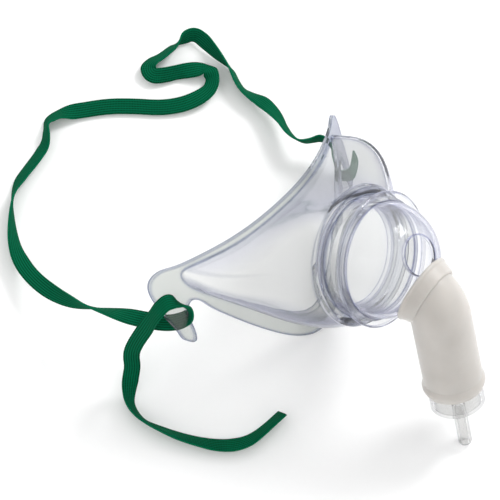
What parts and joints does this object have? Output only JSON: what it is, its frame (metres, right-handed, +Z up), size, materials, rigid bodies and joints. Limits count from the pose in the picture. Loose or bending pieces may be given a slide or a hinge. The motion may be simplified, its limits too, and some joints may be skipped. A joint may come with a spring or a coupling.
{
  "type": "tracheostomy oxygen mask",
  "caption": "Clear plastic neck mask for a tracheostomy, with a swivel dome elbow, a white tube adapter, an oxygen inlet and an elastic neck strap.",
  "frame": {"origin": "middle of the mask's footprint, without the strap, on the surface it lies on", "axes": "+Z up as it lies; +Y from the tube adapter's side towards the mask's chin side; +X towards the far strap hook"},
  "size_m": [0.1741, 0.2318, 0.0881],
  "materials": {
    "clear_shell": "clear, soft, glossy",
    "clear_elbow": "clear, hard, glossy",
    "white_adapter": "milky white, soft, satin",
    "clear_connector": "clear, hard, glossy",
    "strap": "ribbed flat elastic"
  },
  "bodies": {
    "mask": {"mask_shell": "clear_shell", "neck_strap": "strap"},
    "elbow": {"swivel_elbow": "clear_elbow"},
    "adapter": {"tube_adapter": "white_adapter"},
    "connector": {"oxygen_connector": "clear_connector"}
  },
  "joints": [
    {"name": "swivel_turn", "type": "hinge", "parent": "mask", "child": "elbow", "pos_m": [-0.00345, -0.00183, 0.05996], "axis": [0, -0.8175, 0.5759], "continuous": true},
    {"name": "adapter_turn", "type": "hinge", "parent": "elbow", "child": "adapter", "pos_m": [-0.00345, -0.0069, 0.06353], "axis": [-0.1858, -0.9815, 0.0462], "continuous": true},
    {"name": "connector_turn", "type": "hinge", "parent": "adapter", "child": "connector", "pos_m": [-0.02375, -0.05577, 0.02747], "axis": [-0.33, -0.4471, -0.8314], "continuous": true}
  ]
}
